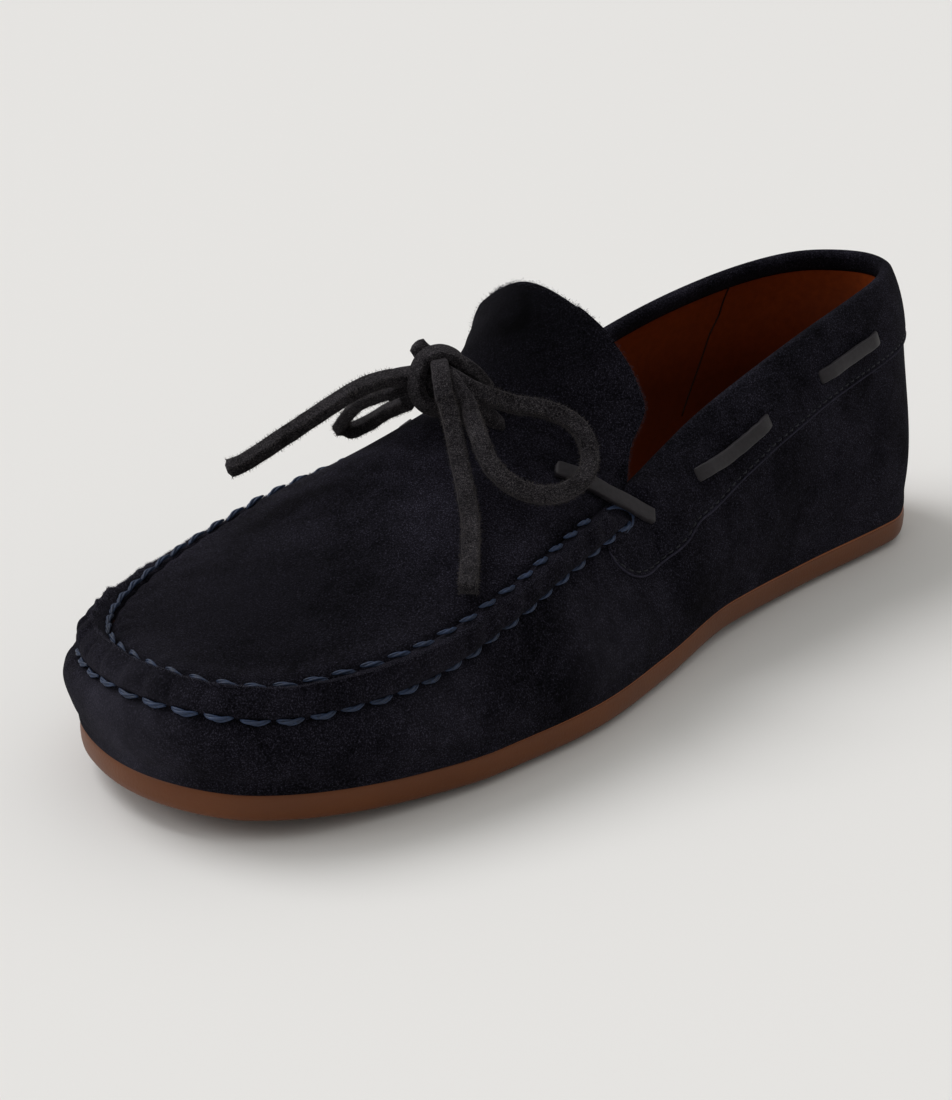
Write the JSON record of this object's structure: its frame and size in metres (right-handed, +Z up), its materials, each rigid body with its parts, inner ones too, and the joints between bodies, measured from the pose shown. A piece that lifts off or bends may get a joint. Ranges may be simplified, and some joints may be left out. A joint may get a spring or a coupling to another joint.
{
  "type": "boat shoe",
  "caption": "Left suede boat shoe of the driving-moccasin kind: hand-sewn plug and ridge, tongue, leather thong through the collar tied in a bow, studded rubber unit sole.",
  "frame": {"origin": "centre of the flat foot of the heel's middle stud, on the ground", "axes": "+X towards the toe, +Y towards the outer (lateral) side, +Z up"},
  "size_m": [0.2898, 0.1061, 0.0942],
  "materials": {
    "gum_rubber": "moulded gum rubber, satin",
    "navy_suede": "brushed suede nap, matt",
    "sock_leather": "smooth lining leather, semi-matt",
    "thong_leather": "cut leather thong with rough sides, matt"
  },
  "bodies": {
    "root": {"outsole": "gum_rubber", "upper": "navy_suede", "tongue": "navy_suede", "insole": "sock_leather", "lace_bar_lateral_front": "thong_leather", "lace_bar_medial_front": "thong_leather", "lace_bar_lateral_rear": "thong_leather", "lace_bar_medial_rear": "thong_leather", "lace_crossing_lateral": "thong_leather", "lace_crossing_medial": "thong_leather", "lace_knot": "thong_leather", "lace_loop_lateral": "thong_leather", "lace_loop_medial": "thong_leather", "lace_end_front": "thong_leather", "lace_end_medial": "thong_leather"}
  },
  "joints": []
}
